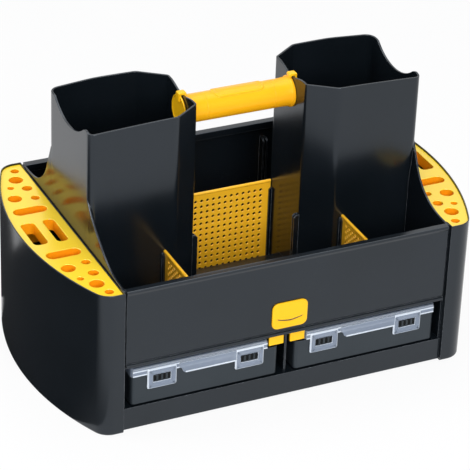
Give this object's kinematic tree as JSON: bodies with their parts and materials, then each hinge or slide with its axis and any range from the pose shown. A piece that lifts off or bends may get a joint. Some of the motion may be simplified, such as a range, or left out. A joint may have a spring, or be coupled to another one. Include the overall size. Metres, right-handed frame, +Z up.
{
  "type": "tool storage caddy",
  "caption": "Bench tool caddy with two tall bins, carrying grip, tool trays in round ends, slot-in dividers and two pull-out parts boxes with clear lids.",
  "frame": {"origin": "on the floor under the middle of the caddy", "axes": "+X to the right as seen from the front, +Y from front to back, +Z up"},
  "size_m": [0.55, 0.336, 0.344],
  "materials": {
    "black_plastic": "satin moulded black",
    "yellow_plastic": "satin moulded yellow",
    "dark_plastic": "fine matt dark grey",
    "clear_plastic": "clear, slightly blue",
    "steel": "zinc plated"
  },
  "bodies": {
    "root": {"base_frame": "black_plastic", "bay_deck": "black_plastic", "front_panel": "black_plastic", "back_panel": "black_plastic", "end_cap_left": "black_plastic", "end_cap_right": "black_plastic", "tower_left": "black_plastic", "tower_right": "black_plastic", "tool_tray_left": "yellow_plastic", "tool_tray_right": "yellow_plastic", "handle_grip": "yellow_plastic", "handle_end_left": "yellow_plastic", "handle_end_right": "yellow_plastic", "latch_keeper": "black_plastic", "base_screws": "steel"},
    "latch": {"latch_slider": "yellow_plastic"},
    "centre_plate": {"centre_divider": "yellow_plastic"},
    "divider_left": {"front_divider_left": "yellow_plastic"},
    "divider_right": {"front_divider_right": "yellow_plastic"},
    "box_left": {"box_tray_left": "dark_plastic", "box_partitions_left": "dark_plastic", "box_lid_left": "clear_plastic", "box_hinge_pins_left": "steel"},
    "box_right": {"box_tray_right": "dark_plastic", "box_partitions_right": "dark_plastic", "box_lid_right": "clear_plastic", "box_hinge_pins_right": "steel"}
  },
  "joints": [
    {"name": "box_left_slide", "type": "slide", "parent": "root", "child": "box_left", "axis": [0, -1, 0], "range_m": [0, 0.171]},
    {"name": "box_right_slide", "type": "slide", "parent": "root", "child": "box_right", "axis": [0, -1, 0], "range_m": [0, 0.171]},
    {"name": "latch_slide", "type": "slide", "parent": "root", "child": "latch", "axis": [0, 0, 1], "range_m": [0, 0.01]},
    {"name": "centre_divider_lift", "type": "slide", "parent": "root", "child": "centre_plate", "axis": [0, 0, 1], "range_m": [0, 0.145]},
    {"name": "front_divider_left_lift", "type": "slide", "parent": "root", "child": "divider_left", "axis": [0, 0, 1], "range_m": [0, 0.085]},
    {"name": "front_divider_right_lift", "type": "slide", "parent": "root", "child": "divider_right", "axis": [0, 0, 1], "range_m": [0, 0.085]}
  ]
}
